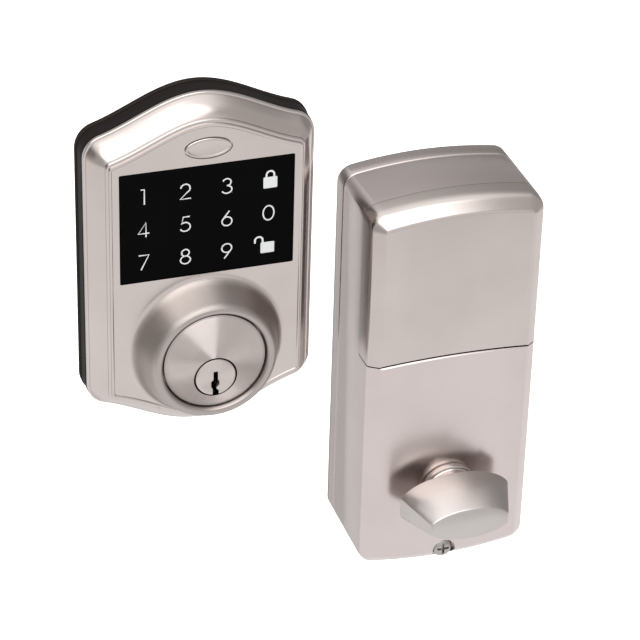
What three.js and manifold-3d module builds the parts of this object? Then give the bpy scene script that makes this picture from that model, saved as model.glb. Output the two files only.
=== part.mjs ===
// Keypad deadbolt lock: an exterior keypad unit and an interior thumbturn unit.
// Millimetres, +Z up, both units face -Y and their backs lie in the plane y = 0.
// The origin is the axis of the key cylinder at that back plane.
import * as THREE from 'three';
import { mergeVertices } from 'three/addons/utils/BufferGeometryUtils.js';
import Module from 'manifold-3d';

const wasm = await Module();
wasm.setup();

// ---------------------------------------------------------------- dimensions
const GAP = 0.3; // clearance between neighbouring pieces

// exterior plate outline
const PLATE = { halfWidth: 36, centreZ: 25.7, halfHeight: 57, drop: 12, corner: 6 };
const GASKET_DEPTH = 2.0;
const CHASSIS_FRONT = -7.6;
const PLATE_BACK = -7.9;
const FIELD_Y = -16.8; // flat field that carries the keypad
const CAVITY_Y = -14.6; // inside face behind that field

// keypad
const GLASS = { width: 53.5, height: 36.3, centreZ: 43.85, front: -16.75, back: -15.25 };
const BADGE = { halfWidth: 7.1, halfHeight: 3.2, centreZ: 67.4 };

// key cylinder
const FACE_R = 15.85;
const COLLAR_BORE_R = 16.4;
const BARREL_R = 12.8;
const PLUG_R = 6.35;
const PLUG_Z = -5.3;
const PLUG_FRONT = -27.3;
const PIN_COUNT = 5;
const PIN_FIRST_Y = -22.5;
const PIN_PITCH = 4.0;
const PIN_R = 1.35;
const CHAMBER_R = 1.65;
const POST_X = 21.5;
const TAIL_END_Y = 34;

// interior unit
const INNER_X = 73.8; // centre line of the interior unit
const BODY = { halfWidth: 27.6, centreZ: -17.05, halfHeight: 65.65, drop: 2.8, corner: 5.5 };
const BASE_FRONT = -6.3;
const BODY_BACK = -6.6;
const COVER_BACK = -25.4;
const BODY_FRONT = -36;
const WALL = 1.8;
const SEAM_Z = -4.8;
const SEAM_DROP = 1.2;
const SEAM_GAP = 0.4;
const SPINDLE_Z = -54.1;
const SCREW_Z = -78.2;

// battery pack: four AA cells, two wide and two deep
const CELL_R = 7.2;
const CELL_LENGTH = 50.5;
const CELL_BOTTOM = -7.2;
const CELL_X = [-7.45, 7.45];
const CELL_Y = [-11.9, -26.6];

// gear train, module 0.8
const GEAR_MODULE = 0.8;
const SPINDLE_TEETH = 36;
const IDLER_TEETH = 26;
const PINION_TEETH = 10;
const GEAR_BACK = -7.2;
const GEAR_FRONT = -10.8;
const IDLER_OFFSET = [-13.0, 21.12]; // from the spindle axis, x and z
const MOTOR_ANGLE = 0.2; // of the motor axis as seen from the idler, radians above +X

// ---------------------------------------------------------------- materials
const material = (color, roughness, metalness) => new THREE.MeshStandardMaterial({ color, roughness, metalness });
const satinNickel = () => material(0xb9b0a9, 0.32, 1.0);
const blackPlastic = () => material(0x17161a, 0.55, 0.0);
const blackRubber = () => material(0x121113, 0.8, 0.0);
const blackGlass = () => material(0x08080a, 0.08, 0.0);
const whitePlastic = () => material(0xe6e4df, 0.45, 0.0);
const greyPlastic = () => material(0x4a4a4d, 0.5, 0.0);
const greenBoard = () => material(0x1f5a38, 0.45, 0.1);
const steel = () => material(0x9a9a9c, 0.35, 1.0);
const brass = () => material(0xb8934a, 0.35, 1.0);
const springSteel = () => material(0x86888c, 0.3, 1.0);
const cellJacket = () => material(0x2c3440, 0.4, 0.2);

// ---------------------------------------------------------------- solid tools
function solid(geometry) {
  const bare = new THREE.BufferGeometry();
  bare.setAttribute('position', geometry.getAttribute('position').clone());
  bare.setIndex(geometry.getIndex());
  const welded = mergeVertices(bare, 1e-4);
  const vertProperties = new Float32Array(welded.getAttribute('position').array);
  const triVerts = new Uint32Array(welded.getIndex().array);
  const direct = new wasm.Manifold(new wasm.Mesh({ numProp: 3, vertProperties, triVerts }));
  if (direct.volume() >= 0) {
    return direct;
  }
  const flipped = new Uint32Array(triVerts);
  for (let i = 0; i < flipped.length; i += 3) {
    flipped[i] = triVerts[i + 1];
    flipped[i + 1] = triVerts[i];
  }
  return new wasm.Manifold(new wasm.Mesh({ numProp: 3, vertProperties, triVerts: flipped }));
}

const join = (...parts) => parts.reduce((sum, part) => sum.add(part));
const cut = (base, ...tools) => tools.reduce((rest, tool) => rest.subtract(tool), base);

function meshFrom(body, name, look) {
  const data = body.getMesh();
  const geometry = new THREE.BufferGeometry();
  geometry.setAttribute('position', new THREE.BufferAttribute(new Float32Array(data.vertProperties), 3));
  geometry.setIndex(new THREE.BufferAttribute(new Uint32Array(data.triVerts), 1));
  geometry.computeVertexNormals();
  const mesh = new THREE.Mesh(geometry, look);
  mesh.name = name;
  return mesh;
}

// A skin over closed rings of [x, z] points, each ring at its own y, capped at both ends.
function loft(given) {
  const flatRing = (ring) => ring.points.map(([x, z]) => new THREE.Vector2(x, z));
  const clockwise = THREE.ShapeUtils.area(flatRing(given[0])) < 0;
  const rings = given.map(({ y, points }) => ({ y, points: clockwise ? [...points].reverse() : points }));
  const count = rings[0].points.length;
  const position = [];
  for (const ring of rings) {
    for (const [x, z] of ring.points) {
      position.push(x, ring.y, z);
    }
  }
  const index = [];
  for (let r = 0; r < rings.length - 1; r += 1) {
    for (let i = 0; i < count; i += 1) {
      const a = r * count + i;
      const b = r * count + ((i + 1) % count);
      index.push(a, b, b + count, a, b + count, a + count);
    }
  }
  const last = (rings.length - 1) * count;
  for (const [start, reverse] of [[0, true], [last, false]]) {
    const ring = start === 0 ? rings[0] : rings[rings.length - 1];
    for (const [a, b, c] of THREE.ShapeUtils.triangulateShape(flatRing(ring), [])) {
      index.push(start + a, start + (reverse ? c : b), start + (reverse ? b : c));
    }
  }
  const geometry = new THREE.BufferGeometry();
  geometry.setAttribute('position', new THREE.Float32BufferAttribute(position, 3));
  geometry.setIndex(index);
  return solid(geometry);
}

const prism = (points, y0, y1) => loft([{ y: y0, points }, { y: y1, points }]);

// A body of revolution about Y from [radius, y] pairs, centred on x, z.
function turned(profile, segments, x = 0, z = 0) {
  const points = profile.map(([radius, y]) => new THREE.Vector2(radius, y));
  return solid(new THREE.LatheGeometry(points, segments).translate(x, 0, z));
}

function disc(radius, y0, y1, segments, x = 0, z = 0) {
  return turned([[0, y0], [radius, y0], [radius, y1], [0, y1]], segments, x, z);
}

function pipe(inner, outer, y0, y1, segments, x = 0, z = 0) {
  const profile = [[inner, y0], [outer, y0], [outer, y1], [inner, y1], [inner, y0]];
  return turned(profile, segments, x, z);
}

// A box from its low and high corners.
function block(low, high) {
  const size = high.map((value, i) => value - low[i]);
  const mid = high.map((value, i) => (value + low[i]) / 2);
  return solid(new THREE.BoxGeometry(...size).translate(...mid));
}

// An upright round bar along Z from [radius, z] pairs.
function upright(profile, segments, x, y) {
  const points = profile.map(([radius, z]) => new THREE.Vector2(radius, z));
  const geometry = new THREE.LatheGeometry(points, segments).rotateX(Math.PI / 2).translate(x, y, 0);
  return solid(geometry);
}

function ovalPoints(halfWidth, halfHeight, x, z, count) {
  return Array.from({ length: count }, (_, i) => {
    const turn = (2 * Math.PI * i) / count;
    return [x + halfWidth * Math.cos(turn), z + halfHeight * Math.sin(turn)];
  });
}

function roundedRectPoints(width, height, radius, x, z, steps = 4) {
  const points = [];
  const corners = [[1, 1, 0], [-1, 1, 0.5], [-1, -1, 1], [1, -1, 1.5]];
  for (const [sx, sz, turn] of corners) {
    for (let i = 0; i <= steps; i += 1) {
      const angle = Math.PI * (turn + (0.5 * i) / steps);
      const cx = x + sx * (width / 2 - radius);
      const cz = z + sz * (height / 2 - radius);
      points.push([cx + radius * Math.cos(angle), cz + radius * Math.sin(angle)]);
    }
  }
  return points;
}

// ---------------------------------------------------------------- arched outlines
const ogee = (t) => 0.375 * (1 - Math.cos(Math.PI * t)) + 0.25 * t * t;
const bow = (t) => t * t;

// One quarter runs from the middle of the arch, round the corner, to the straight side.
function archQuarter(halfWidth, apex, drop, corner, shape, steps, arcSteps) {
  const height = (x) => apex - drop * shape(x / halfWidth);
  const slope = (x) => (height(x + 0.01) - height(x - 0.01)) / 0.02;
  let end = halfWidth - corner;
  for (let i = 0; i < 20; i += 1) {
    end = halfWidth - corner + corner * Math.sin(Math.atan(-slope(end)));
  }
  const tilt = Math.atan(-slope(end));
  const points = [];
  for (let i = 0; i <= steps; i += 1) {
    const x = (end * i) / steps;
    points.push([x, height(x)]);
  }
  const cx = halfWidth - corner;
  const cz = height(end) - corner * Math.cos(tilt);
  for (let i = 1; i <= arcSteps; i += 1) {
    const angle = tilt + ((Math.PI / 2 - tilt) * i) / arcSteps;
    points.push([cx + corner * Math.sin(angle), cz + corner * Math.cos(angle)]);
  }
  return points;
}

// The whole outline of a plate, moved in by `side` at the sides and by `end` at top and bottom.
function outline(spec, shape, x, side, end = side) {
  const halfWidth = spec.halfWidth - side;
  const drop = (spec.drop * halfWidth) / spec.halfWidth;
  const corner = Math.max(spec.corner - side, 0.7);
  const quarter = archQuarter(halfWidth, spec.halfHeight - end, drop, corner, shape, 8, 3);
  const right = quarter.map(([u, v]) => [u, v]);
  const lowerRight = quarter.map(([u, v]) => [u, -v]).reverse();
  const lowerLeft = quarter.map(([u, v]) => [-u, -v]).slice(1);
  const left = quarter.map(([u, v]) => [-u, v]).reverse().slice(0, -1);
  const loop = [...right, ...lowerRight, ...lowerLeft, ...left];
  return loop.map(([u, v]) => [x + u, spec.centreZ + v]);
}

const plateOutline = (side, end) => outline(PLATE, ogee, 0, side, end);
const bodyOutline = (side, end) => outline(BODY, bow, INNER_X, side, end);
const layered = (outlineOf, layers) => loft(layers.map(([y, side, end]) => ({ y, points: outlineOf(side, end) })));

// ---------------------------------------------------------------- exterior unit
function cableWay(x, z, y0, y1) {
  return prism(roundedRectPoints(16, 9, 2, x, z), y0, y1);
}

function weatherGasket() {
  const ring = cut(prism(plateOutline(0), 0, -GASKET_DEPTH), prism(plateOutline(3.4), 1, -GASKET_DEPTH - 1));
  return meshFrom(ring, 'weather_gasket', blackRubber());
}

function exteriorChassis() {
  const rim = prism(plateOutline(0.35), -GASKET_DEPTH - GAP, CHASSIS_FRONT);
  const back = prism(plateOutline(3.7), -0.5, -GASKET_DEPTH - GAP);
  const tray = cut(join(rim, back), prism(plateOutline(2.5), -3.9, CHASSIS_FRONT - 1));
  const posts = [-POST_X, POST_X].map((x) => disc(4.3, 1, -9, 20, x, 0));
  const holes = [disc(13.4, 1, -9, 32), cableWay(0, 27, 1, -9), ...posts];
  return meshFrom(cut(tray, ...holes), 'exterior_chassis', blackPlastic());
}

function escutcheon() {
  const skin = layered(plateOutline, [
    [PLATE_BACK, 0.5], [-8.9, 0.5], [-9.5, 1.3], [-12.3, 2.7], [-14.1, 4.0], [-15.3, 5.5, 5.8],
    [-16.2, 5.8, 6.1], [-16.4, 6.3, 7.0], [-17.1, 6.6, 7.5], [FIELD_Y, 7.3, 8.4],
  ]);
  const hollow = layered(plateOutline, [
    [PLATE_BACK + 1, 2.6], [-9.6, 3.4], [-12.2, 5.0], [CAVITY_Y, 7.8, 8.6],
  ]);
  const collar = turned([
    [13.2, -13.2], [19.2, -13.2], [19.2, -15.5], [24.6, -16.7], [22.5, -17.4], [21.5, -19],
    [19.7, -25.2], [19.1, -26.6], [17.8, -27.3], [COLLAR_BORE_R, -26.4], [COLLAR_BORE_R, -21.3],
    [13.2, -21.3], [13.2, -13.2],
  ], 44);
  const posts = [-POST_X, POST_X].map((x) => disc(3.9, -0.8, -15.6, 20, x, 0));
  const bores = [-POST_X, POST_X].map((x) => disc(2.2, 0, -13.5, 16, x, 0));
  const window = prism(roundedRectPoints(GLASS.width + 0.7, GLASS.height + 0.7, 0.8, 0, GLASS.centreZ), -12, -20);
  const recess = prism(ovalPoints(BADGE.halfWidth + 0.45, BADGE.halfHeight + 0.45, 0, BADGE.centreZ, 24), -16.2, -20);
  const shell = cut(skin, hollow, disc(16.5, -10, -20, 36));
  const cast = cut(join(shell, collar, ...posts), ...bores, window, recess);
  return meshFrom(cast, 'exterior_escutcheon', satinNickel());
}

function badgePlate() {
  const oval = (inset) => ovalPoints(BADGE.halfWidth - inset, BADGE.halfHeight - inset, 0, BADGE.centreZ, 24);
  const rings = [[-16.25, 0], [-16.95, 0], [-17.15, 0.25], [-17.15, 0.6], [-16.95, 0.85]];
  return meshFrom(loft(rings.map(([y, inset]) => ({ y, points: oval(inset) }))), 'badge_plate', satinNickel());
}

function touchPanel() {
  const sheet = (inset) => roundedRectPoints(GLASS.width - inset, GLASS.height - inset, 0.6, 0, GLASS.centreZ);
  const rings = [[GLASS.back, 0], [GLASS.front + 0.15, 0], [GLASS.front, 0.3]];
  return meshFrom(loft(rings.map(([y, inset]) => ({ y, points: sheet(inset) }))), 'touch_panel', blackGlass());
}

function lightGuide() {
  const sheet = prism(roundedRectPoints(52, 35, 0.8, 0, GLASS.centreZ), -14.95, -14.3);
  return meshFrom(sheet, 'panel_light_guide', whitePlastic());
}

function keypadBoard() {
  const board = prism(roundedRectPoints(54, 37.6, 1.5, 0, GLASS.centreZ), -12.7, -13.9);
  return meshFrom(board, 'keypad_board', greenBoard());
}

function exteriorConnector() {
  const shell = block([-6, -12.5, 30], [6, -7.2, 36]);
  const mouth = block([-5, -10.9, 31], [5, -6, 35]);
  return meshFrom(cut(shell, mouth), 'exterior_connector', whitePlastic());
}

// ---------------------------------------------------------------- key cylinder
const pinY = (k) => PIN_FIRST_Y + PIN_PITCH * k;

function keyway() {
  const left = [[-0.95, 2.0], [-0.95, 0.9], [-0.25, 0.3], [-0.25, -1.5], [-1.15, -2.3], [-1.15, -7.5]];
  const right = [[1.15, -7.5], [1.15, -3.4], [0.75, -2.9], [1.35, -2.0], [1.35, -0.4], [0.75, 0.4], [0.75, 2.0]];
  return prism([...left, ...right].map(([x, z]) => [x, PLUG_Z + z]), -40, -8.5 + PIN_PITCH);
}

function cylinderBody() {
  const body = turned([
    [0, -4.6], [BARREL_R, -4.6], [BARREL_R, -21.6], [FACE_R, -21.6], [FACE_R, -25.95], [FACE_R - 0.5, -26.35],
    [PLUG_R, -27.15], [0, -27.15],
  ], 44);
  const bore = disc(PLUG_R + 0.3, 0, -40, 30, 0, PLUG_Z);
  const chambers = Array.from({ length: PIN_COUNT }, (_, k) => (
    upright([[0, PLUG_Z], [CHAMBER_R, PLUG_Z], [CHAMBER_R, 10.9], [0, 10.9]], 10, 0, pinY(k))
  ));
  const screwHoles = [-10, 10].map((x) => disc(1.2, 0, -12, 12, x, 0));
  return meshFrom(cut(body, bore, ...chambers, ...screwHoles), 'cylinder_body', satinNickel());
}

function keyPlug() {
  const plug = turned([
    [0, -1.9], [4.6, -1.9], [4.6, -2.7], [5.9, -2.7], [5.9, -3.3], [5.0, -3.3], [5.0, -4.3], [PLUG_R, -4.3],
    [PLUG_R, PLUG_FRONT + 0.25], [PLUG_R - 0.3, PLUG_FRONT], [0, PLUG_FRONT],
  ], 30, 0, PLUG_Z);
  const chambers = Array.from({ length: PIN_COUNT }, (_, k) => (
    upright([[0, PLUG_Z + 1.5], [CHAMBER_R, PLUG_Z + 1.5], [CHAMBER_R, 8], [0, 8]], 10, 0, pinY(k))
  ));
  return meshFrom(cut(plug, keyway(), ...chambers), 'key_plug', satinNickel());
}

function plugClip() {
  const ring = cut(pipe(5.25, 7.9, -3.45, -4.1, 24, 0, PLUG_Z), block([-3, -5, PLUG_Z - 9], [3, -2, PLUG_Z - 2]));
  return meshFrom(ring, 'plug_clip', springSteel());
}

function tailpiece() {
  const boss = disc(4.6, -0.4, -1.6, 24, 0, PLUG_Z);
  const blade = block([-3.6, -0.6, PLUG_Z - 0.9], [3.6, TAIL_END_Y, PLUG_Z + 0.9]);
  return meshFrom(join(boss, blade), 'tailpiece', steel());
}

function coil(x, y, z0, z1, radius, wire, turns, sides, perTurn) {
  class Helix extends THREE.Curve {
    getPoint(t, target = new THREE.Vector3()) {
      const angle = 2 * Math.PI * turns * t;
      const height = z0 + wire + (z1 - z0 - 2 * wire) * t;
      return target.set(x + radius * Math.cos(angle), y + radius * Math.sin(angle), height);
    }
  }
  const section = new THREE.Shape(Array.from({ length: sides }, (_, i) => {
    const turn = (2 * Math.PI * i) / sides;
    return new THREE.Vector2(wire * Math.cos(turn), wire * Math.sin(turn));
  }));
  const settings = { extrudePath: new Helix(), steps: turns * perTurn, bevelEnabled: false };
  return solid(new THREE.ExtrudeGeometry(section, settings));
}

function pinStacks() {
  const meshes = [];
  for (let k = 0; k < PIN_COUNT; k += 1) {
    const y = pinY(k);
    const shear = PLUG_Z + 6.1;
    const foot = PLUG_Z + 2.3 + 0.25 * (k % 3);
    const key = upright([[0, foot], [0.7, foot], [PIN_R, foot + 0.6], [PIN_R, shear], [0, shear]], 10, 0, y);
    const driver = upright([[0, shear + 0.6], [PIN_R, shear + 0.6], [PIN_R, 6.3], [0, 6.3]], 10, 0, y);
    meshes.push(meshFrom(key, `key_pin_${k + 1}`, brass()));
    meshes.push(meshFrom(driver, `driver_pin_${k + 1}`, brass()));
    meshes.push(meshFrom(coil(0, y, 6.5, 10.7, 1.05, 0.22, 3, 4, 6), `pin_spring_${k + 1}`, springSteel()));
  }
  return meshes;
}

// ---------------------------------------------------------------- interior case
const at = (x, z) => [INNER_X + x, z];
const innerBlock = ([x0, y0, z0], [x1, y1, z1]) => block([INNER_X + x0, y0, z0], [INNER_X + x1, y1, z1]);
const innerDisc = (radius, y0, y1, segments, x, z) => disc(radius, y0, y1, segments, INNER_X + x, z);

function mountingPlate() {
  const plate = prism(roundedRectPoints(44, 112, 4, ...at(0, -19)), 0, -1.6);
  const spindleHole = innerDisc(8, 1, -3, 32, 0, SPINDLE_Z);
  const slots = [-21.5, 21.5].map((x) => (
    prism(roundedRectPoints(5.6, 5.6, 2.7, ...at(x * 0.8, SPINDLE_Z)), 1, -3)
  ));
  return meshFrom(cut(plate, spindleHole, cableWay(...at(0, -32), 1, -3), ...slots), 'mounting_plate', steel());
}

function interiorBase() {
  const outer = layered(bodyOutline, [[0, 0.3], [-0.4, 0], [-5.9, 0], [BASE_FRONT, 0.4]]);
  const rear = prism(bodyOutline(WALL), 1, -1.9);
  const front = prism(bodyOutline(WALL), -3.1, -8);
  const post = innerDisc(2.9, -2.5, -29.5, 16, 0, SCREW_Z + 0.5);
  const postHole = innerDisc(1.65, -10, -31, 12, 0, SCREW_Z);
  const spindleHole = innerDisc(6.6, 1, -5, 32, 0, SPINDLE_Z);
  const slots = [-17.2, 17.2].map((x) => innerDisc(3, 1, -5, 16, x, SPINDLE_Z));
  const body = join(cut(outer, rear, front), post);
  const holes = [postHole, spindleHole, cableWay(...at(0, -32), 1, -5), ...slots];
  return meshFrom(cut(body, ...holes), 'interior_base', satinNickel());
}

function caseShell() {
  const skin = layered(bodyOutline, [
    [BODY_BACK, 0.3], [BODY_BACK - 0.4, 0], [-28.6, 0], [-30.6, 0.05, 0.3], [-32.4, 0.3, 0.9], [-33.4, 1.0, 1.5],
    [-35.3, 3.3, 2.9], [-35.8, 4.0, 3.5], [BODY_FRONT, 4.6, 4.2],
  ]);
  const hollow = layered(bodyOutline, [
    [BODY_BACK + 1, WALL], [-29.5, WALL], [-31.6, 2.2, 2.4], [-34.2, 5.2, 4.6],
  ]);
  return { skin, hollow };
}

// Everything in front of the cover's back edge and above the arched seam, less `gap`.
function coverRegion(gap) {
  const steps = 12;
  const reach = 32;
  const points = [];
  for (let i = 0; i <= steps; i += 1) {
    const x = -reach + (2 * reach * i) / steps;
    points.push(at(x, SEAM_Z + gap - SEAM_DROP * (x / 27) ** 2));
  }
  points.push(at(reach, 60), at(-reach, 60));
  return prism(points, COVER_BACK - gap, -40);
}

function interiorHousing() {
  const { skin, hollow } = caseShell();
  const boss = innerDisc(5.4, -30, -36, 24, 0, SCREW_Z).intersect(skin);
  const shell = cut(join(cut(skin, hollow), boss), coverRegion(0));
  const screwHole = innerDisc(1.65, -28, -37, 14, 0, SCREW_Z);
  const counterbore = innerDisc(3.8, -33.3, -37, 28, 0, SCREW_Z);
  const spindleHole = innerDisc(6.9, -32, -38, 36, 0, SPINDLE_Z);
  return meshFrom(cut(shell, screwHole, counterbore, spindleHole), 'interior_housing', satinNickel());
}

function batteryCover() {
  const { skin, hollow } = caseShell();
  const cap = cut(skin, hollow).intersect(coverRegion(SEAM_GAP));
  return meshFrom(cap, 'battery_cover', satinNickel());
}

// ---------------------------------------------------------------- battery pack
function batteryTray() {
  const outer = innerBlock([-16.3, -3.4, -9.9], [16.3, -30, 45.4]);
  const inner = innerBlock([-15.1, -4.4, -8.7], [15.1, -31, 44.2]);
  return meshFrom(cut(outer, inner), 'battery_tray', blackPlastic());
}

function batteryCells() {
  const meshes = [];
  CELL_X.forEach((x, column) => {
    CELL_Y.forEach((y, row) => {
      const upward = (column + row) % 2 === 0;
      const z = (t) => (upward ? CELL_BOTTOM + t : CELL_BOTTOM + CELL_LENGTH - t);
      const profile = [
        [0, 0], [CELL_R - 0.5, 0], [CELL_R, 0.5], [CELL_R, 48.7], [CELL_R - 0.5, 49.2], [2.7, 49.2],
        [2.6, CELL_LENGTH], [0, CELL_LENGTH],
      ];
      const body = upright(profile.map(([r, t]) => [r, z(t)]), 16, INNER_X + x, y);
      meshes.push(meshFrom(body, `battery_${meshes.length + 1}`, cellJacket()));
    });
  });
  return meshes;
}

// A bent contact strip; where it meets a cell's flat end it carries a short coil.
function contactStrip(name, x, y0, y1, end, coilY) {
  const [low, high] = end === 'top' ? [43.45, 43.95] : [-8.5, -8.0];
  const strip = innerBlock([x - 5, y1, low], [x + 5, y0, high]);
  const coils = coilY.map((y) => {
    const [z0, z1] = end === 'top' ? [43.4, 43.9] : [-8.45, -7.3];
    return coil(INNER_X + x, y, z0, z1, 3.2, 0.2, 1, 4, 12);
  });
  return meshFrom(join(strip, ...(end === 'top' ? [] : coils)), name, springSteel());
}

function batteryContacts() {
  const [left, right] = CELL_X;
  const [rear, front] = CELL_Y;
  return [
    contactStrip('contact_top_left', left, rear + 5, front - 5, 'top', []),
    contactStrip('contact_top_right', right, rear + 5, front - 5, 'top', []),
    contactStrip('contact_bottom_left', left, rear + 5, front - 5, 'bottom', [rear]),
    contactStrip('contact_bottom_right', right, rear + 5, front - 5, 'bottom', [front]),
  ];
}

// ---------------------------------------------------------------- electronics
const BOARD_BACK = -28.3;
const BOARD_FRONT = -29.5;
const BUTTON = { x: 20.6, z: 1.5 };

function controlBoard() {
  const main = prism(roundedRectPoints(44, 27, 1.5, ...at(0, -27.5)), BOARD_BACK, BOARD_FRONT);
  const ear = prism(roundedRectPoints(7.4, 24, 1, ...at(20.6, -6)), BOARD_BACK, BOARD_FRONT);
  return meshFrom(join(main, ear), 'control_board', greenBoard());
}

function controlChip() {
  const chip = innerBlock([-14, BOARD_FRONT - 0.2, -31], [-4, BOARD_FRONT - 1.8, -21]);
  return meshFrom(chip, 'control_chip', blackPlastic());
}

function cableSocket() {
  const shell = innerBlock([12.5, BOARD_BACK + 0.2, -38], [20.5, BOARD_BACK + 6.5, -30]);
  const mouth = innerBlock([13.5, BOARD_BACK + 1.6, -37], [19.5, BOARD_BACK + 8, -31]);
  return meshFrom(cut(shell, mouth), 'cable_socket', whitePlastic());
}

function sounder() {
  const can = innerDisc(5.5, BOARD_FRONT - 0.2, BOARD_FRONT - 3.4, 24, 8, -27);
  const port = innerDisc(1, BOARD_FRONT - 2, BOARD_FRONT - 5, 12, 8, -27);
  return meshFrom(cut(can, port), 'sounder', blackPlastic());
}

function programSwitch() {
  const body = innerBlock([BUTTON.x - 3, BOARD_FRONT - 0.2, BUTTON.z - 3], [BUTTON.x + 3, -31.8, BUTTON.z + 3]);
  const well = innerDisc(2.1, -30.4, -33, 16, BUTTON.x, BUTTON.z);
  return meshFrom(cut(body, well), 'program_switch', greyPlastic());
}

function programButton() {
  const cap = turned(
    [[0, -31.4], [1.75, -31.4], [1.75, -33.1], [1.5, -33.4], [0, -33.4]],
    16, INNER_X + BUTTON.x, BUTTON.z,
  );
  return meshFrom(cap, 'program_button', material(0xa8281e, 0.45, 0));
}

// ---------------------------------------------------------------- gear train
const involute = (angle) => Math.tan(angle) - angle;

// Half the angle a tooth spans at a radius, thinned for running clearance.
function toothHalfAngle(radius, teeth) {
  const pitch = (GEAR_MODULE * teeth) / 2;
  const base = pitch * Math.cos(Math.PI / 9);
  const pressure = Math.acos(Math.min(1, base / Math.max(radius, base)));
  const atPitch = (0.41 * Math.PI) / teeth;
  return atPitch + involute(Math.PI / 9) - involute(pressure);
}

function gear(teeth, phase, x, z, boreRadius, y0 = GEAR_BACK, y1 = GEAR_FRONT) {
  const pitch = (GEAR_MODULE * teeth) / 2;
  const root = pitch - 1.15 * GEAR_MODULE;
  const tip = pitch + 0.85 * GEAR_MODULE;
  const points = [];
  for (let i = 0; i < teeth; i += 1) {
    const mid = phase + (2 * Math.PI * i) / teeth;
    const flank = [root, pitch, tip].map((radius) => [radius, toothHalfAngle(radius, teeth)]);
    const rising = flank.map(([radius, half]) => [radius, mid - half]);
    const falling = flank.map(([radius, half]) => [radius, mid + half]).reverse();
    points.push(...rising, ...falling);
  }
  const ring = points.map(([radius, angle]) => [x + radius * Math.cos(angle), z + radius * Math.sin(angle)]);
  return cut(prism(ring, y0, y1), disc(boreRadius, y0 + 3, y1 - 3, 20, x, z));
}

// Phase of gear B so that its gap faces a tooth of gear A along the line between their axes.
function meshedPhase(direction, phaseA, teethA, teethB) {
  const toothA = ((direction - phaseA) * teethA) / (2 * Math.PI);
  return direction + Math.PI - ((0.5 - toothA) * 2 * Math.PI) / teethB;
}

const [idlerX, idlerZ] = IDLER_OFFSET;
const idler = { x: INNER_X + idlerX, z: SPINDLE_Z + idlerZ };
const motorReach = (GEAR_MODULE * (IDLER_TEETH + PINION_TEETH)) / 2;
const motorAxis = {
  x: idler.x + motorReach * Math.cos(MOTOR_ANGLE),
  z: idler.z + motorReach * Math.sin(MOTOR_ANGLE),
};
const idlerPhase = meshedPhase(Math.atan2(idlerZ, idlerX), 0, SPINDLE_TEETH, IDLER_TEETH);
const pinionPhase = meshedPhase(MOTOR_ANGLE, idlerPhase, IDLER_TEETH, PINION_TEETH);

function gearTrain() {
  const wheel = gear(SPINDLE_TEETH, 0, INNER_X, SPINDLE_Z, 5.3);
  const middle = gear(IDLER_TEETH, idlerPhase, idler.x, idler.z, 1.9);
  const pinion = gear(PINION_TEETH, pinionPhase, motorAxis.x, motorAxis.z, 1.2);
  return [
    meshFrom(wheel, 'spindle_gear', whitePlastic()),
    meshFrom(middle, 'idler_gear', whitePlastic()),
    meshFrom(pinion, 'motor_pinion', brass()),
  ];
}

function gearPlate() {
  const plate = prism(roundedRectPoints(42, 46, 3, ...at(-2, -39)), -11.4, -12.6);
  const axle = disc(1.5, -3.5, -12, 16, idler.x, idler.z);
  const legs = [[-19, -19.5], [15, -19.5], [-19.5, -58.5]].map(([x, z]) => innerDisc(2.2, -3.5, -12, 14, x, z));
  const shaftHole = disc(2, -9, -15, 16, motorAxis.x, motorAxis.z);
  const spindleHole = innerDisc(6.3, -9, -15, 28, 0, SPINDLE_Z);
  return meshFrom(cut(join(plate, axle, ...legs), shaftHole, spindleHole), 'gear_plate', steel());
}

function motor() {
  const shape = [
    [0, -6.8], [0.9, -6.8], [0.9, -12.9], [3.2, -12.9], [3.2, -13.6], [8.6, -13.6], [9.1, -14.1], [9.1, -26.3],
    [8.6, -26.8], [0, -26.8],
  ];
  return meshFrom(turned(shape, 24, motorAxis.x, motorAxis.z), 'motor', steel());
}

function positionSwitch() {
  const body = innerBlock([17.8, -13, -70.5], [23.8, -19, -57.5]);
  return meshFrom(body, 'position_switch', blackPlastic());
}

// ---------------------------------------------------------------- thumbturn
const KNOB_BACK = -41.5;
const KNOB_FRONT = -56.5;

function spindle() {
  const shaft = turned([
    [0, -3.4], [5.9, -3.4], [5.9, -6.8], [4.9, -6.8], [4.9, -11.1], [4.2, -11.1], [4.2, -50], [0, -50],
  ], 24, INNER_X, SPINDLE_Z);
  const flat = innerBlock([-6, -51, SPINDLE_Z + 3.2], [6, -42.5, SPINDLE_Z + 6]);
  const slot = innerBlock([-4, -18, SPINDLE_Z - 1.3], [4, 2, SPINDLE_Z + 1.3]);
  return meshFrom(cut(shaft, flat, slot), 'spindle', steel());
}

function thumbturnBushing() {
  const profile = [
    [4.5, -33], [6.6, -33], [6.6, -36.2], [9.6, -36.2], [9.6, -38.2], [9.2, -38.6], [8.5, -38.6], [8.5, -40.4],
    [8.1, -40.8], [4.5, -40.8], [4.5, -33],
  ];
  return meshFrom(turned(profile, 32, INNER_X, SPINDLE_Z), 'thumbturn_bushing', satinNickel());
}

// A long oval cut square at its two ends.
function boatPoints(halfLength, halfHeight, endShare) {
  const reach = Math.acos(endShare);
  const steps = 8;
  const upper = [];
  for (let i = 0; i <= steps; i += 1) {
    const turn = Math.PI / 2 - reach + (2 * reach * i) / steps;
    const stretch = halfLength / Math.cos(Math.PI / 2 - reach);
    upper.push([stretch * Math.cos(turn), halfHeight * Math.sin(turn)]);
  }
  const lower = upper.map(([x, z]) => [-x, -z]);
  return [...upper, ...lower].map(([x, z]) => [INNER_X + x, SPINDLE_Z + z]);
}

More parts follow.
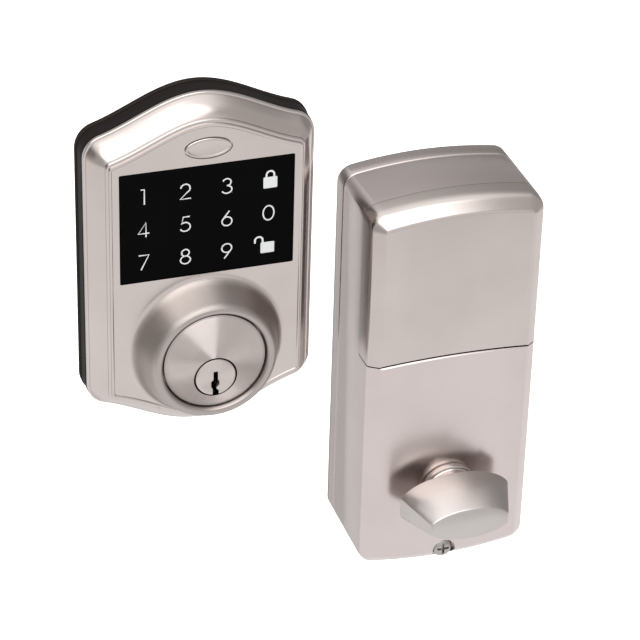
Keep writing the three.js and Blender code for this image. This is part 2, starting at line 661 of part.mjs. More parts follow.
function thumbturn() {
  const layers = [
    [KNOB_BACK, 17.3, 9.1], [KNOB_BACK - 0.5, 17.8, 9.6], [-49, 15.25, 7.5], [KNOB_FRONT + 0.5, 12.65, 5.5],
    [KNOB_FRONT, 12.1, 5.0],
  ];
  const grip = loft(layers.map(([y, length, height]) => ({ y, points: boatPoints(length, height, 0.33) })));
  const socket = disc(4.5, -40, -50.3, 24, INNER_X, SPINDLE_Z);
  const key = innerBlock([-6, -52, SPINDLE_Z + 3.5], [6, -42.5, SPINDLE_Z + 6]);
  const screwHole = upright(
    [[0, SPINDLE_Z - 12], [1.5, SPINDLE_Z - 12], [1.5, SPINDLE_Z - 3], [0, SPINDLE_Z - 3]],
    12, INNER_X, -46,
  );
  return meshFrom(cut(grip, socket.subtract(key), screwHole), 'thumbturn', satinNickel());
}

function knobSetScrew() {
  const screw = upright(
    [[0, SPINDLE_Z - 7.6], [1.2, SPINDLE_Z - 7.6], [1.2, SPINDLE_Z - 4.4], [0, SPINDLE_Z - 4.4]],
    12, INNER_X, -46,
  );
  return meshFrom(screw, 'knob_set_screw', steel());
}

function coverScrew() {
  const head = turned([
    [0, -26], [1.35, -26], [1.35, -33.6], [3.3, -33.6], [3.3, -34.5], [2.6, -35.2], [1.2, -35.5], [0, -35.5],
  ], 24, INNER_X, SCREW_Z);
  const arms = [[2.1, 0.45], [0.45, 2.1]].map(([a, b]) => (
    innerBlock([-a, -36, SCREW_Z - b], [a, -34.3, SCREW_Z + b])
  ));
  return meshFrom(cut(head, ...arms), 'housing_screw', steel());
}

// ---------------------------------------------------------------- assembly
const lock = new THREE.Group();
lock.name = 'keypad_deadbolt_lock';
lock.add(
  weatherGasket(), exteriorChassis(), escutcheon(), badgePlate(), touchPanel(), lightGuide(), keypadBoard(),
  exteriorConnector(), cylinderBody(), keyPlug(), plugClip(), tailpiece(), ...pinStacks(),
  mountingPlate(), interiorBase(), interiorHousing(), batteryCover(), batteryTray(), ...batteryCells(),
  ...batteryContacts(), controlBoard(), controlChip(), cableSocket(), sounder(), programSwitch(), programButton(),
  motor(), ...gearTrain(), gearPlate(), positionSwitch(), spindle(), thumbturnBushing(), thumbturn(),
  knobSetScrew(), coverScrew(),
);

export default lock;
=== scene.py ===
# %% [markdown]
# # A keypad deadbolt lock
#
# The lock comes in two units that face the same way: a keypad unit for the outside of a door and a
# thumbturn unit for the inside. This lesson loads the measured frame of the lock, models its visible
# pieces again in fine detail, and gives every surface a finish of its own. Lengths are worked out in
# millimetres, as on a drawing, and turned into Blender's metres where a mesh is made.

# %% Load the frame
import math

import bpy
import bmesh
from mathutils import Matrix, Vector


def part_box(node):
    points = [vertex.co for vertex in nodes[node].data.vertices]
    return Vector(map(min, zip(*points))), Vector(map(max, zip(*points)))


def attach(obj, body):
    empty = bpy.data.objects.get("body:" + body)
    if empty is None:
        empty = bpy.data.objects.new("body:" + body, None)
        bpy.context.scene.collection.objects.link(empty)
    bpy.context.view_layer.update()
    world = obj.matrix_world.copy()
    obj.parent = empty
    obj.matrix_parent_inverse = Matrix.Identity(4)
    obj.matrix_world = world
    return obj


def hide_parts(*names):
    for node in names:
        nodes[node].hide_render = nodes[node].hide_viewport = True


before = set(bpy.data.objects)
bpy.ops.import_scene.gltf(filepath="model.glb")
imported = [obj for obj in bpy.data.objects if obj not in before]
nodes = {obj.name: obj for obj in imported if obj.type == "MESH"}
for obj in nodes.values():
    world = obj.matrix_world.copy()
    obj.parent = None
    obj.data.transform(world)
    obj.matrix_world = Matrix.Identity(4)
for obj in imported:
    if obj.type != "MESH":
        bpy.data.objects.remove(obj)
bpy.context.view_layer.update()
MM = 0.001

# %% [markdown]
# ## The camera
#
# A product picture of a small object is taken from some way off with a long lens, so that upright edges
# stay nearly parallel. The camera is a point and three directions. The directions come from three angles:
# how far round the lock it stands, how high it looks down from, and a slight roll.

# %% Set the camera
AZIMUTH = math.radians(18.95)
HEIGHT_ANGLE = math.radians(31.41)
ROLL = math.radians(1.66)
CAMERA_AT = Vector((-207.6, -727.1, 461.5)) * MM
LENS = 161.2


def camera_axes():
    back = Vector((
        -math.sin(AZIMUTH) * math.cos(HEIGHT_ANGLE),
        -math.cos(AZIMUTH) * math.cos(HEIGHT_ANGLE),
        math.sin(HEIGHT_ANGLE),
    ))
    level = Vector((0, 0, 1)).cross(back).normalized()
    rise = back.cross(level)
    right = math.cos(ROLL) * level + math.sin(ROLL) * rise
    up = -math.sin(ROLL) * level + math.cos(ROLL) * rise
    return right, up, back


bpy.ops.object.camera_add()
camera = bpy.context.object
camera.name = "studio_camera"
camera.matrix_world = Matrix.Translation(CAMERA_AT) @ Matrix(camera_axes()).transposed().to_4x4()
camera.data.lens = LENS
camera.data.clip_end = 60
bpy.context.scene.camera = camera
print("lens", camera.data.lens, "mm")

# %% [markdown]
# ## Small helpers for modelling
#
# Blender's operators work on whatever is selected, so one helper clears the selection and another opens a
# piece in edit mode with nothing picked. The rest are the jobs that every piece needs at its end: closing
# the skin, cutting or joining a second solid, and rounding the sharp edges.

# %% Selection, closing, cutting and softening
MERGE_WITHIN = 0.002


def clear_selection():
    if bpy.context.mode != "OBJECT":
        bpy.ops.object.mode_set(mode="OBJECT")
    bpy.ops.object.select_all(action="DESELECT")


def make_active(piece):
    clear_selection()
    piece.select_set(True)
    bpy.context.view_layer.objects.active = piece


def edit(piece):
    make_active(piece)
    bpy.ops.object.mode_set(mode="EDIT")
    bpy.ops.mesh.select_mode(type="FACE")
    bpy.ops.mesh.select_all(action="DESELECT")


def settle(piece, angle=35):
    """Closes a finished shape: one skin, faces outwards, soft shading across shallow edges."""
    edit(piece)
    bpy.ops.mesh.select_all(action="SELECT")
    bpy.ops.mesh.remove_doubles(threshold=MERGE_WITHIN * MM)
    bpy.ops.mesh.normals_make_consistent(inside=False)
    bpy.ops.object.mode_set(mode="OBJECT")
    bpy.ops.object.shade_smooth_by_angle(angle=math.radians(angle))
    return piece


def boolean(piece, tool, operation="DIFFERENCE"):
    """Joins to, or cuts from, a piece another solid, which is used up."""
    make_active(piece)
    modifier = piece.modifiers.new("boolean", "BOOLEAN")
    modifier.operation = operation
    modifier.solver = "EXACT"
    modifier.object = tool
    bpy.ops.object.modifier_apply(modifier=modifier.name)
    bpy.data.objects.remove(tool, do_unlink=True)
    return piece


def soften(piece, width, angle=40, segments=2):
    """Rounds every edge sharper than an angle, as tumbling or a mould's radius does."""
    make_active(piece)
    modifier = piece.modifiers.new("soft_edges", "BEVEL")
    modifier.width = width * MM
    modifier.segments = segments
    modifier.limit_method = "ANGLE"
    modifier.angle_limit = math.radians(angle)
    modifier.use_clamp_overlap = True
    modifier.harden_normals = False
    bpy.ops.object.modifier_apply(modifier=modifier.name)
    return piece


# %% [markdown]
# ## Outlines and turned shapes
#
# Both units have an arched outline: the keypad plate swings up to a dome in an S-curve, and the inner
# case has a shallow bow. One function walks along a quarter of such an outline, and mirrors it. A disc is
# then laid on that outline, and its face is extruded, inset or scaled, which is how mouldings are built up.
# A round part is a profile of radius and depth, spun about its axis.


# %% Outline helpers
def s_curve(t):
    return 0.375 * (1 - math.cos(math.pi * t)) + 0.25 * t * t


def bow(t):
    return t * t


def quarter(half_width, apex, drop, corner, shape, steps=22, arc_steps=9):
    """Points (x, z) from the top middle to the right side: the arched top, then the corner's arc."""
    nudge = 0.01

    def height(x):
        return apex - drop * shape(x / half_width)

    def tilt_at(x):
        return math.atan((height(x - nudge) - height(x + nudge)) / (2 * nudge))

    end = half_width - corner
    for _ in range(20):  # settles where the arch's slope meets the arc's
        end = half_width - corner + corner * math.sin(tilt_at(end))
    tilt = tilt_at(end)
    points = [(end * i / steps, height(end * i / steps)) for i in range(steps + 1)]
    middle = (half_width - corner, height(end) - corner * math.cos(tilt))
    for i in range(1, arc_steps + 1):
        turn = tilt + (math.pi / 2 - tilt) * i / arc_steps
        points.append((middle[0] + corner * math.sin(turn), middle[1] + corner * math.cos(turn)))
    return points


def outline(spec, inset=0.0):
    """The closed outline of a unit as (x, z) in mm, drawn in by `inset`."""
    half_width = spec["half_width"] - inset
    drop = spec["drop"] * half_width / spec["half_width"]
    part = quarter(half_width, spec["half_height"] - inset, drop, spec["corner"] - inset, spec["shape"])
    loop = part + [(x, -z) for x, z in reversed(part)]
    loop += [(-x, -z) for x, z in part[1:]] + [(-x, z) for x, z in reversed(part)][:-1]
    return [(spec["x"] + x, spec["z"] + z) for x, z in reversed(loop)]


def disc_on(name, points, y):
    """A flat disc whose rim is laid on an outline, facing the user."""
    clear_selection()
    bpy.ops.mesh.primitive_circle_add(
        vertices=len(points), radius=1, fill_type="NGON", rotation=(math.pi / 2, 0, 0)
    )
    bpy.ops.object.transform_apply(location=True, rotation=True, scale=True)
    piece = bpy.context.object
    piece.name = name
    for vertex, (x, z) in zip(piece.data.vertices, points):
        vertex.co = Vector((x, y, z)) * MM
    piece.data.update()
    edit(piece)
    bpy.ops.mesh.select_all(action="SELECT")
    if bmesh.from_edit_mesh(piece.data).faces[:][0].normal.y > 0:
        bpy.ops.mesh.flip_normals()
    return piece


def push(distance):
    """Extrudes the selected front face towards the user."""
    bpy.ops.mesh.extrude_region_move(TRANSFORM_OT_translate={"value": (0, -distance * MM, 0)})


def resize(wide, high, centre):
    """Scales the selected face in its own plane, about a point given as (x, z)."""
    bpy.ops.transform.resize(value=(wide, 1, high), center_override=(centre[0] * MM, 0, centre[1] * MM))


def half_spans(piece):
    """Half the width and half the height of the selected face."""
    points = [vertex.co / MM for vertex in bmesh.from_edit_mesh(piece.data).verts if vertex.select]
    return [(max(p[i] for p in points) - min(p[i] for p in points)) / 2 for i in (0, 2)]


def mould(piece, steps, centre):
    """Brings the front face forward step by step: (inward, outward, squeeze in height).

    Going inward is an inset. An inset can't grow a face, so a negative step extrudes and scales it.
    """
    for inward, outward, squeeze in steps:
        if inward < 0:
            push(outward)
            half_width, half_height = half_spans(piece)
            resize(1 - inward / half_width, squeeze * (1 - inward / half_height), centre)
            continue
        bpy.ops.mesh.inset(thickness=inward * MM, depth=outward * MM, use_even_offset=True)
        if squeeze != 1:
            resize(1, squeeze, centre)
    return piece


def block(name, points, y0, y1):
    """A plain solid of an outline from y0 (back) to y1 (front)."""
    piece = disc_on(name, points, y0)
    push(y0 - y1)
    return settle(piece)


def turned(name, profile, steps=72, x=0.0, z=0.0, angle=35):
    """A shape turned about an axis along Y, from (radius, y) pairs in mm."""
    clear_selection()
    bpy.ops.mesh.primitive_plane_add(size=1)
    piece = bpy.context.object
    piece.name = name
    piece.data.clear_geometry()
    vertices = [Vector((x + radius, y, z)) * MM for radius, y in profile]
    piece.data.from_pydata(vertices, [(i, i + 1) for i in range(len(vertices) - 1)], [])
    make_active(piece)
    bpy.ops.object.mode_set(mode="EDIT")
    bpy.ops.mesh.select_all(action="SELECT")
    bpy.ops.mesh.spin(
        steps=steps, angle=2 * math.pi, center=(x * MM, 0, z * MM), axis=(0, 1, 0), use_auto_merge=True
    )
    return settle(piece, angle)


def rounded_rectangle(width, height, radius, x=0.0, z=0.0, steps=6):
    points = []
    for sx, sz, start in ((1, 1, 0), (-1, 1, 1), (-1, -1, 2), (1, -1, 3)):
        for i in range(steps + 1):
            turn = math.pi / 2 * (start + i / steps)
            centre = (x + sx * (width / 2 - radius), z + sz * (height / 2 - radius))
            points.append((centre[0] + radius * math.cos(turn), centre[1] + radius * math.sin(turn)))
    return points


def oval(half_width, half_height, x=0.0, z=0.0, count=64):
    turns = [2 * math.pi * i / count for i in range(count)]
    return [(x + half_width * math.cos(t), z + half_height * math.sin(t)) for t in turns]


def round_rod(name, radius, y0, y1, x=0.0, z=0.0, steps=48):
    return turned(name, [(0, y0), (radius, y0), (radius, y1), (0, y1)], steps, x, z)


# %% [markdown]
# ## Writing materials as sums
#
# A finish is a small calculation: noise here, a band there, and a mask between them. Wrapping a shader
# socket in a class with + - * / lets that calculation be written as one line of Python, while Blender
# still gets its Math nodes. Every other node comes from one method, `add`.


# %% The shader class
class Wire:
    """A number that varies over a surface: the output socket of a node."""

    def __init__(self, finish, socket):
        self.finish = finish
        self.socket = socket

    def _maths(self, operation, *values):
        node = self.finish.add("ShaderNodeMath", {"operation": operation}, dict(enumerate(values)))
        return Wire(self.finish, node.outputs[0])

    def __add__(self, other):
        return self._maths("ADD", self, other)

    def __radd__(self, other):
        return self._maths("ADD", other, self)

    def __sub__(self, other):
        return self._maths("SUBTRACT", self, other)

    def __rsub__(self, other):
        return self._maths("SUBTRACT", other, self)

    def __mul__(self, other):
        return self._maths("MULTIPLY", self, other)

    def __rmul__(self, other):
        return self._maths("MULTIPLY", other, self)

    def __truediv__(self, other):
        return self._maths("DIVIDE", self, other)

    def __pow__(self, other):
        return self._maths("POWER", self, other)

    def sine(self):
        return self._maths("SINE", self)

    def absolute(self):
        return self._maths("ABSOLUTE", self)

    def above(self, limit):
        return self._maths("GREATER_THAN", self, limit)

    def below(self, limit):
        return self._maths("LESS_THAN", self, limit)

    def larger(self, other):
        return self._maths("MAXIMUM", self, other)


class NodeMaker:
    """Adds nodes to one node tree."""

    def __init__(self, tree):
        self.tree = tree

    def add(self, kind, settings, inputs):
        node = self.tree.nodes.new(kind)
        for key, value in settings.items():
            setattr(node, key, value)
        for key, value in inputs.items():
            self.feed(node.inputs[key], value)
        return node

    def feed(self, socket, value):
        if isinstance(value, Wire):
            value = value.socket
        if isinstance(value, bpy.types.NodeSocket):
            self.tree.links.new(value, socket)
        else:
            socket.default_value = value

    def blend(self, mask, first, second):
        node = self.add("ShaderNodeMix", {"data_type": "RGBA"}, {"Factor": mask})
        colours = [socket for socket in node.inputs if socket.type == "RGBA"]
        for socket, value in zip(colours, (first, second)):
            self.feed(socket, (*value, 1) if isinstance(value, tuple) else value)
        return [socket for socket in node.outputs if socket.type == "RGBA"][0]

    def vector(self, operation, *values, **named):
        inputs = {**dict(enumerate(values)), **named}
        return self.add("ShaderNodeVectorMath", {"operation": operation}, inputs).outputs[0]

    def ramp(self, value, start, end):
        """0 at `start`, 1 at `end`, with soft ends."""
        inputs = {"Value": value, "From Min": start, "From Max": end}
        node = self.add("ShaderNodeMapRange", {"interpolation_type": "SMOOTHSTEP"}, inputs)
        return Wire(self, node.outputs["Result"])


class Finish(NodeMaker):
    """A material made of nodes, with one principled shader."""

    def __init__(self, name, colour, roughness, metallic=0.0, **constants):
        self.material = bpy.data.materials.new(name)
        self.material.use_nodes = True
        super().__init__(self.material.node_tree)
        self.shader = self.tree.nodes["Principled BSDF"]
        self.shader.inputs["Base Color"].default_value = (*colour, 1)
        self.shader.inputs["Roughness"].default_value = roughness
        self.shader.inputs["Metallic"].default_value = metallic
        for socket, value in constants.items():
            self.shader.inputs[socket.replace("_", " ")].default_value = value
        self.place = self.add("ShaderNodeTexCoord", {}, {}).outputs["Object"]

    def noise(self, scale, detail=3.0, roughness=0.5, place=None):
        inputs = {"Vector": place or self.place, "Scale": scale, "Detail": detail, "Roughness": roughness}
        return Wire(self, self.add("ShaderNodeTexNoise", {}, inputs).outputs["Fac"])

    def stretched(self, scale):
        mapping = self.add("ShaderNodeMapping", {}, {"Vector": self.place, "Scale": scale})
        return mapping.outputs["Vector"]

    def axes(self, x=0.0, z=0.0):
        """Object coordinates in mm, counted from an axis along Y."""
        shift = self.add("ShaderNodeMapping", {}, {"Vector": self.place, "Location": (-x * MM, 0, -z * MM)})
        parts = self.add("ShaderNodeSeparateXYZ", {}, {"Vector": shift.outputs["Vector"]})
        return [Wire(self, parts.outputs[i]) / MM for i in range(3)]

    def distance(self, x, z):
        across, _, up = self.axes(x, z)
        return (across * across + up * up) ** 0.5

    def colour(self, value):
        self.feed(self.shader.inputs["Base Color"], value)

    def roughness(self, value):
        self.feed(self.shader.inputs["Roughness"], value)

    def bump(self, height, strength, distance=0.05):
        inputs = {"Height": height, "Strength": strength, "Distance": distance * MM}
        node = self.add("ShaderNodeBump", {}, inputs)
        self.feed(self.shader.inputs["Normal"], node.outputs["Normal"])


# %% [markdown]
# ## Satin nickel
#
# The castings are blasted, then plated with nickel: a warm grey metal with a soft, slightly grainy shine.
# Two noises do it. A broad one lets colour and shine drift a little over the plate, as plating does, and a
# fine one is the blasted grain. Worn edges are left for the light to find on the modelled bevels.
#
# Parts that were faced in a lathe carry rings too fine to model. A sine of the radius leans the surface's
# normal in and out across them, and that is what spreads the light into a fan.

# %% Nickel finishes
NICKEL = (0.60, 0.545, 0.522)
NICKEL_SHADE = (0.52, 0.462, 0.436)
# The collar's darker nickel is painted shade on the same metal as the plate.
PAINTED_SHADE_COLLAR_NICKEL = (0.44, 0.396, 0.377)
CASE_NICKEL = (0.64, 0.572, 0.556)
CASE_SHADE = (0.57, 0.502, 0.484)
# The base's darker nickel and its darker tone are painted shade on the same metal as the case.
PAINTED_SHADE_BASE_NICKEL = (0.50, 0.448, 0.433)
PAINTED_SHADE_BASE_DARK = (0.43, 0.382, 0.366)
GRIP_NICKEL = (0.56, 0.53, 0.517)
GRIP_SHADE = (0.49, 0.457, 0.44)
LATHE_RINGS = 23  # radians of the rings' wave in each millimetre
COLLAR_FOOT = (24.2, 22.9)  # radii between which the plate's finish gives way to the collar's
PLUG_Z = -5.3


def satin_nickel(name="satin_nickel", shine=0.22, bright=NICKEL, shade=NICKEL_SHADE):
    finish = Finish(name, bright, shine, 1.0)
    cloud = finish.noise(38, 3)
    grain = finish.noise(5200, 2, 0.6)
    streak = finish.noise(1, 3, 0.6, finish.stretched((900, 900, 60)))
    finish.colour(finish.blend((cloud - 0.35) * 1.2 + (grain - 0.5) * 0.25, bright, shade))
    finish.roughness(shine + (cloud - 0.5) * 0.10 + (grain - 0.5) * 0.08 + (streak - 0.5) * 0.05)
    finish.bump(grain + streak * 0.3, 0.06, 0.02)
    return finish.material


def lean_normal(finish, direction, amount):
    """Tips the surface's normal along a direction in the piece's own axes, by a varying amount."""
    settings = {"vector_type": "NORMAL", "convert_from": "OBJECT", "convert_to": "WORLD"}
    in_world = finish.add("ShaderNodeVectorTransform", settings, {"Vector": direction})
    lean = finish.vector("SCALE", in_world.outputs[0], Scale=amount)
    upright = finish.add("ShaderNodeNewGeometry", {}, {}).outputs["Normal"]
    tipped = finish.vector("NORMALIZE", finish.vector("ADD", lean, upright))
    finish.feed(finish.shader.inputs["Normal"], tipped)


def turned_nickel(name, x, z, shine=0.15, fan=0.85):
    """Nickel faced in a lathe: rings too fine to see, about the axis at x, z, fan the light out."""
    finish = Finish(name, NICKEL, shine, 1.0)
    radius = finish.distance(x, z)
    drift = finish.noise(60, 2)
    rings = (radius * LATHE_RINGS + drift * 2).sine()
    finish.colour(finish.blend(drift * 0.4 + rings * 0.08, NICKEL, NICKEL_SHADE))
    finish.roughness(shine + rings * 0.02 + (drift - 0.5) * 0.05)
    from_axis = finish.vector("SUBTRACT", finish.place, (x * MM, 0, z * MM))
    spoke = finish.vector("NORMALIZE", finish.vector("MULTIPLY", from_axis, (1, 0, 1)))
    lean_normal(finish, spoke, rings * fan)
    return finish.material


def escutcheon_nickel():
    """Satin nickel whose collar, about the axis at 0, 0, has been turned in a lathe, with a darker nickel on
    the collar that is painted shade.
    """
    finish = Finish("satin_nickel_escutcheon", NICKEL, 0.22, 1.0)
    cloud = finish.noise(38, 3)
    grain = finish.noise(5200, 2, 0.6)
    _, depth, _ = finish.axes()
    collar = finish.ramp(finish.distance(0, 0), *COLLAR_FOOT)
    plate = finish.blend((cloud - 0.35) * 1.2 + (grain - 0.5) * 0.25, NICKEL, NICKEL_SHADE)
    # The collar's darker colour blended in here is painted shade.
    finish.colour(finish.blend(collar, plate, PAINTED_SHADE_COLLAR_NICKEL))
    finish.roughness(0.22 + collar * 0.09 + (cloud - 0.5) * 0.08 + (grain - 0.5) * 0.08)
    rings = (depth * LATHE_RINGS).sine()
    lean_normal(finish, (0, 1, 0), rings * collar * 0.4 + (grain - 0.5) * 0.05)
    return finish.material


nickel = satin_nickel()
plate_nickel = escutcheon_nickel()
case_nickel = satin_nickel("satin_nickel_case", 0.24, CASE_NICKEL, CASE_SHADE)
cover_nickel = satin_nickel("satin_nickel_cover", 0.22)
cylinder_nickel = turned_nickel("turned_nickel_cylinder", 0, 0)
plug_nickel = turned_nickel("turned_nickel_plug", 0, PLUG_Z, 0.18, 0.3)

# %% [markdown]
# ## Rubber, plastics and glass
#
# Moulded plastic shows a fine spark-eroded grain, rubber a duller and coarser one. The touch panel is
# polished, so what makes it real is the faint haze of handling in its roughness, not colour.


# %% Soft and hard mouldings
def moulded(name, colour, shade, roughness, grain_scale=3000, strength=0.12, sheen=0.5):
    finish = Finish(name, colour, roughness, Specular_IOR_Level=sheen)
    grain = finish.noise(grain_scale, 2)
    cloud = finish.noise(70, 3)
    finish.colour(finish.blend(cloud * 0.7 + grain * 0.3, colour, shade))
    finish.roughness(roughness + (grain - 0.5) * 0.14 + (cloud - 0.5) * 0.08)
    finish.bump(grain, strength, 0.03)
    return finish.material


def panel_glass():
    finish = Finish("touch_panel_black", (0.002, 0.002, 0.002), 0.09, Specular_IOR_Level=0.008)
    haze = finish.noise(45, 4, 0.6)
    wipe = finish.noise(1, 3, 0.6, finish.stretched((60, 60, 900)))
    finish.colour(finish.blend(haze, (0.0014, 0.0014, 0.0015), (0.0026, 0.0026, 0.0028)))
    finish.roughness(0.07 + haze * 0.08 + wipe * 0.04)
    finish.bump(haze, 0.01, 0.02)
    return finish.material


def printed_ink():
    finish = Finish("printed_symbols", (0.46, 0.47, 0.47), 0.5, Specular_IOR_Level=0.2)
    speckle = finish.noise(6000, 2)
    finish.colour(finish.blend(speckle * 0.6, (0.50, 0.51, 0.51), (0.36, 0.37, 0.37)))
    finish.roughness(0.4 + speckle * 0.15)
    finish.bump(speckle, 0.05, 0.01)
    return finish.material


rubber = moulded("black_rubber", (0.014, 0.011, 0.010), (0.022, 0.018, 0.016), 0.62, 1800, 0.2, 0.0)
black_plastic = moulded(
    "black_plastic", (0.006, 0.005, 0.005), (0.011, 0.009, 0.009), 0.42, 3000, 0.12, 0.03
)
white_plastic = moulded("white_plastic", (0.80, 0.79, 0.75), (0.70, 0.69, 0.65), 0.42)
grey_plastic = moulded("grey_plastic", (0.20, 0.20, 0.21), (0.15, 0.15, 0.16), 0.45)
red_plastic = moulded("red_plastic", (0.52, 0.04, 0.03), (0.40, 0.03, 0.025), 0.38)
glass = panel_glass()
ink = printed_ink()

# %% [markdown]
# ## Steel, brass, circuit board and cells
#
# Pressed steel is zinc plated, with a faint blotchy spangle and rolling lines. Turned brass has rings.
# A circuit board is green varnish over copper, so its traces are a shade lighter and stand up slightly.
# The cells wear a printed sleeve: a dark body, a pale band near the button end, and bare steel at the tips.


# %% Hidden and working finishes
def plated_steel(name, colour=(0.56, 0.56, 0.57), shade=(0.42, 0.42, 0.44), roughness=0.34):
    finish = Finish(name, colour, roughness, 1.0)
    spangle = finish.noise(260, 4, 0.7)
    rolling = finish.noise(1, 3, 0.6, finish.stretched((2200, 120, 120)))
    finish.colour(finish.blend(spangle * 0.8 + rolling * 0.2, colour, shade))
    finish.roughness(roughness + (spangle - 0.5) * 0.2 + (rolling - 0.5) * 0.1)
    finish.bump(rolling + spangle * 0.4, 0.08, 0.02)
    return finish.material


def board_green():
    finish = Finish("circuit_board", (0.012, 0.11, 0.045), 0.3)
    across, _, up = finish.axes()
    lanes = ((across * 2.1).sine().above(0.55)).larger((up * 2.1 + across * 0.9).sine().above(0.72))
    patches = finish.noise(210, 1).above(0.47)
    traces = lanes * patches
    finish.colour(finish.blend(traces, (0.010, 0.085, 0.035), (0.030, 0.19, 0.080)))
    finish.roughness(0.28 + traces * 0.1 + finish.noise(900, 2) * 0.08)
    finish.bump(traces, 0.3, 0.03)
    return finish.material


def cell_sleeve(name, low, high, button_up):
    """A printed sleeve on an upright cell between two heights in mm."""
    finish = Finish(name, (0.03, 0.035, 0.05), 0.28, 0.0, Coat_Weight=0.3)
    _, _, up = finish.axes()
    share = (up - low) / (high - low) if button_up else (high - up) / (high - low)
    band = share.above(0.72) * share.below(0.945)
    line = (share - 0.70).absolute().below(0.008)
    tip = share.above(0.962).larger(share.below(0.015))
    print_grain = finish.noise(2600, 2)
    body = finish.blend(print_grain * 0.5, (0.022, 0.030, 0.05), (0.035, 0.045, 0.07))
    sleeve = finish.blend(band.larger(line), body, (0.55, 0.56, 0.58))
    finish.colour(finish.blend(tip, sleeve, (0.60, 0.60, 0.60)))
    finish.feed(finish.shader.inputs["Metallic"], tip)
    finish.roughness(0.26 + print_grain * 0.1)
    finish.bump(print_grain, 0.04, 0.02)
    return finish.material


def turned_brass():
    finish = Finish("turned_brass", (0.66, 0.48, 0.20), 0.28, 1.0)
    cloud = finish.noise(300, 2)
    finish.colour(finish.blend(cloud, (0.70, 0.52, 0.23), (0.52, 0.36, 0.15)))
    finish.roughness(0.24 + cloud * 0.12)
    finish.bump(finish.noise(1, 2, 0.5, finish.stretched((300, 9000, 300))), 0.1, 0.01)
    return finish.material


steel = plated_steel("plated_steel")
dark_steel = plated_steel("screw_steel", (0.50, 0.48, 0.46), (0.36, 0.34, 0.33), 0.26)
spring = plated_steel("spring_steel", (0.46, 0.47, 0.49), (0.34, 0.35, 0.37), 0.28)
board = board_green()
brass = turned_brass()

# %% [markdown]
# ## Placing a piece
#
# Each new piece is given its finish and the body it moves with, and the measured nodes that it stands
# for are hidden. Doing all that in one call keeps a piece from being left behind.


# %% Placing helper
def place(piece, material, slot, body, *stands_for):
    piece.data.materials.clear()
    piece.data.materials.append(material)
    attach(piece, body)
    if stands_for:
        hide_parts(*stands_for)
    print(piece.name, len(piece.data.polygons), "faces")
    return piece


# %% [markdown]
# ## The keypad unit's back rim
#
# Behind the metal plate sits a black rim in two layers: a rubber seal that meets the door, and a plastic
# chassis. Both are the plate's outline pushed forward. The seal is a hollow frame: its face is inset, the
# middle is deleted and the ring that is left is extruded.

# %% Seal and chassis
PLATE = {
    "x": 0, "z": 25.7, "half_width": 36, "half_height": 57, "drop": 12, "corner": 7.8, "shape": s_curve,
}
SEAL_WIDTH = 3.4
SEAL_DEPTH = 2.0
CHASSIS_BACK = -2.2
CHASSIS_FRONT = -7.6
POST_X = 21.5
CABLE_WAY = (16, 9, 2)  # width, height and corner radius of the opening that the cable runs through


def door_seal():
    piece = disc_on("door_seal", outline(PLATE), 0)
    bpy.ops.mesh.inset(thickness=SEAL_WIDTH * MM, depth=0)
    bpy.ops.mesh.delete(type="FACE")
    bpy.ops.mesh.select_all(action="SELECT")
    push(SEAL_DEPTH)
    settle(piece)
    return settle(soften(piece, 0.35), 40)


def rear_chassis():
    piece = disc_on("rear_chassis", outline(PLATE, 0.35), CHASSIS_BACK)
    push(CHASSIS_BACK - CHASSIS_FRONT)
    settle(piece)
    boolean(piece, block("web", outline(PLATE, 3.7), -0.5, -3.5), "UNION")
    boolean(piece, round_rod("hole", 13.4, 2, -12, steps=72))
    boolean(piece, block("way", rounded_rectangle(*CABLE_WAY, 0, 27), 2, -12))
    for x in (-POST_X, POST_X):
        boolean(piece, round_rod("hole", 4.3, 2, -12, x))
    return settle(soften(piece, 0.2), 40)


place(door_seal(), rubber, "black_rubber", "lock_body", "weather_gasket")
place(rear_chassis(), black_plastic, "black_plastic", "lock_body", "exterior_chassis")

# %% [markdown]
# ## The escutcheon
#
# The front plate is a casting: a thin rim, a small ledge, a long rounded slope, a double bead and a flat
# field. A round collar stands on the field, with a soft fillet at its foot. The slope and beads are built
# by insetting the front face again and again, each time a little forward, so every line follows the
# arch. The collar is turned, and joined on as the casting would be.

# %% Escutcheon
MOULDING = (
    # inward, outward, squeeze in height
    (0.18, 0.24, 1), (0.52, 0.10, 1), (0.10, 0.36, 1),
    (0.52, 0.95, 1), (0.42, 0.90, 1), (0.50, 0.90, 1), (0.58, 0.85, 1), (0.68, 0.82, 1),
    (0.74, 0.70, 0.998), (0.76, 0.55, 0.996),
    (0.06, 0.45, 1), (0.10, 0.35, 1), (0.18, 0.22, 1), (0.22, 0.06, 0.997), (0.20, 0.02, 0.996),
    (0.06, 0.36, 1), (0.10, 0.24, 1), (0.18, 0.13, 0.999), (0.20, 0.0, 0.998), (0.20, -0.10, 0.998),
    (0.20, -0.20, 0.999),
)
RIM_BACK = -7.9
RIM_FRONT = -8.9
FIELD = RIM_FRONT - sum(step[1] for step in MOULDING)
COLLAR = (
    (13.2, -13.2), (19.2, -13.2), (19.2, -15.6), (25.4, -16.2), (24.9, FIELD - 0.01), (24.2, FIELD - 0.08),
    (23.6, -17.08), (23.1, -17.4), (22.7, -17.85), (22.35, -18.45), (22.05, -19.15), (21.65, -20.2),
    (19.85, -25.3), (19.62, -25.95), (19.2, -26.55), (18.65, -26.98), (18.0, -27.2), (17.4, -27.18),
    (16.9, -26.98), (16.55, -26.6), (16.4, -26.1), (16.4, -21.3), (13.2, -21.3), (13.2, -13.2),
)
GLASS = {"width": 53.2, "height": 36.3, "x": 0.15, "z": 43.8}
BADGE = (0.4, 67.75)


